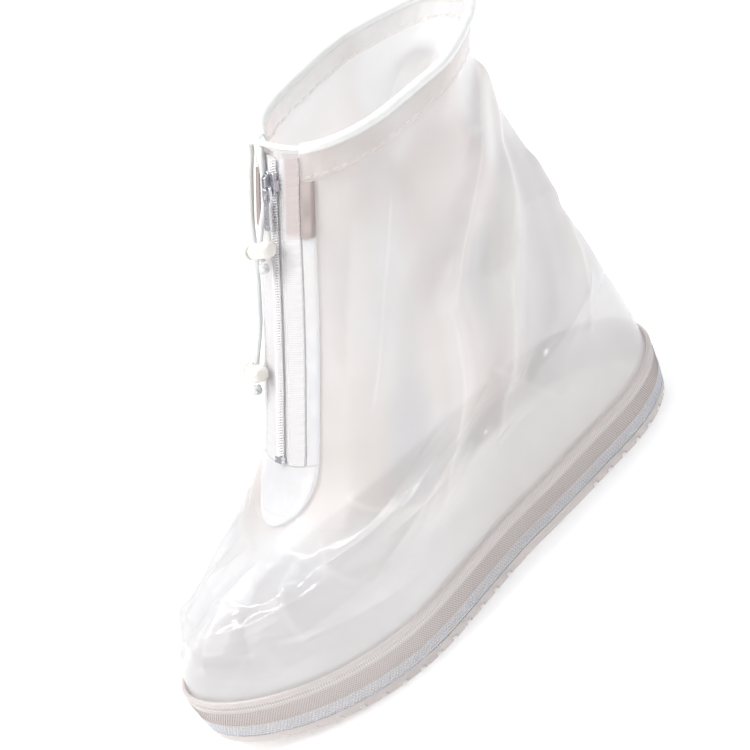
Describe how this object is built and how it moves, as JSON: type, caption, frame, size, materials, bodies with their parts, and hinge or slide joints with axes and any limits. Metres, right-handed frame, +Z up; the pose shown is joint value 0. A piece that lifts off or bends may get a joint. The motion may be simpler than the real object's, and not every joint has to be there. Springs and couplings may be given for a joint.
{
  "type": "shoe cover",
  "caption": "Ankle-high see-through rain shoe cover with a front coil zip, a drawcord hem with barrel cord locks, and a moulded anti-slip sole tray.",
  "frame": {"origin": "middle of the footprint, on the plane the sole stands on", "axes": "+Z up, toe towards -Y, heel towards +Y, the wearer's left side at +X"},
  "size_m": [0.1104, 0.2987, 0.2378],
  "materials": {
    "film": "frosted, see-through",
    "sole_film": "textured, cloudy",
    "knit": "knitted tape",
    "nylon": "coil",
    "elastic": "braided elastic",
    "metal": "plated",
    "lock_plastic": "glossy ivory"
  },
  "bodies": {
    "cover": {"upper": "film", "collar_casing": "film", "placket_left": "film", "placket_right": "film", "zip_end_patch": "film", "sole_tray": "sole_film", "zip_tape_left": "knit", "zip_tape_right": "knit", "zip_coil": "nylon", "drawcord": "elastic", "cord_end_short": "elastic", "cord_end_long": "elastic", "cord_knot_short": "elastic", "cord_knot_long": "elastic", "zip_slider": "metal", "zip_stop": "metal", "toggle_barrel_short": "lock_plastic", "toggle_barrel_long": "lock_plastic"},
    "pull_tab": {"zip_pull": "metal"},
    "plunger_short": {"toggle_plunger_short": "lock_plastic"},
    "plunger_long": {"toggle_plunger_long": "lock_plastic"}
  },
  "joints": [
    {"name": "pull_tab_hinge", "type": "hinge", "parent": "cover", "child": "pull_tab", "pos_m": [0, 0.00766, 0.22133], "axis": [-1, 0, 0], "range_deg": [0, 160]},
    {"name": "lock_press_short", "type": "slide", "parent": "cover", "child": "plunger_short", "axis": [0.9576, 0.0341, 0.286], "range_m": [0, 0.0032], "stiffness_N_per_m": 300},
    {"name": "lock_press_long", "type": "slide", "parent": "cover", "child": "plunger_long", "axis": [0.9303, -0.2498, 0.2686], "range_m": [0, 0.0032], "stiffness_N_per_m": 300}
  ]
}
